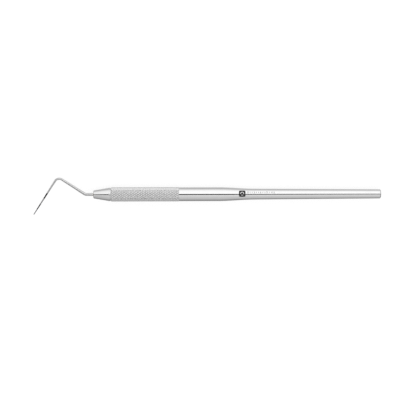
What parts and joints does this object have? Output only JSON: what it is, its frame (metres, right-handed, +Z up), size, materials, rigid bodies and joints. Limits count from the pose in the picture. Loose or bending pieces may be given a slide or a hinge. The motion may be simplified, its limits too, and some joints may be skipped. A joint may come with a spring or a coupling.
{
  "type": "periodontal probe",
  "caption": "Single-ended periodontal probe: round steel handle, knurled grip, slim tail, and a tapered tip bent at a right angle with black depth bands.",
  "frame": {"origin": "on the table the probe lies on, under the middle of its box", "axes": "+X along the handle from the nose to the tail, +Z up; the knee of the working end leans to +Y"},
  "size_m": [0.1638, 0.0162, 0.0071],
  "materials": {
    "handle_steel": "turned stainless steel, polished, with a diamond-knurled grip",
    "tip_steel": "satin-polished hardened stainless wire",
    "solder": "silver solder, as it flowed",
    "band_black": "black depth colouring, satin"
  },
  "bodies": {
    "root": {"handle": "handle_steel", "working_end": "tip_steel", "solder_joint": "solder", "depth_band_3_to_6": "band_black", "depth_band_9_to_12": "band_black"}
  },
  "joints": []
}
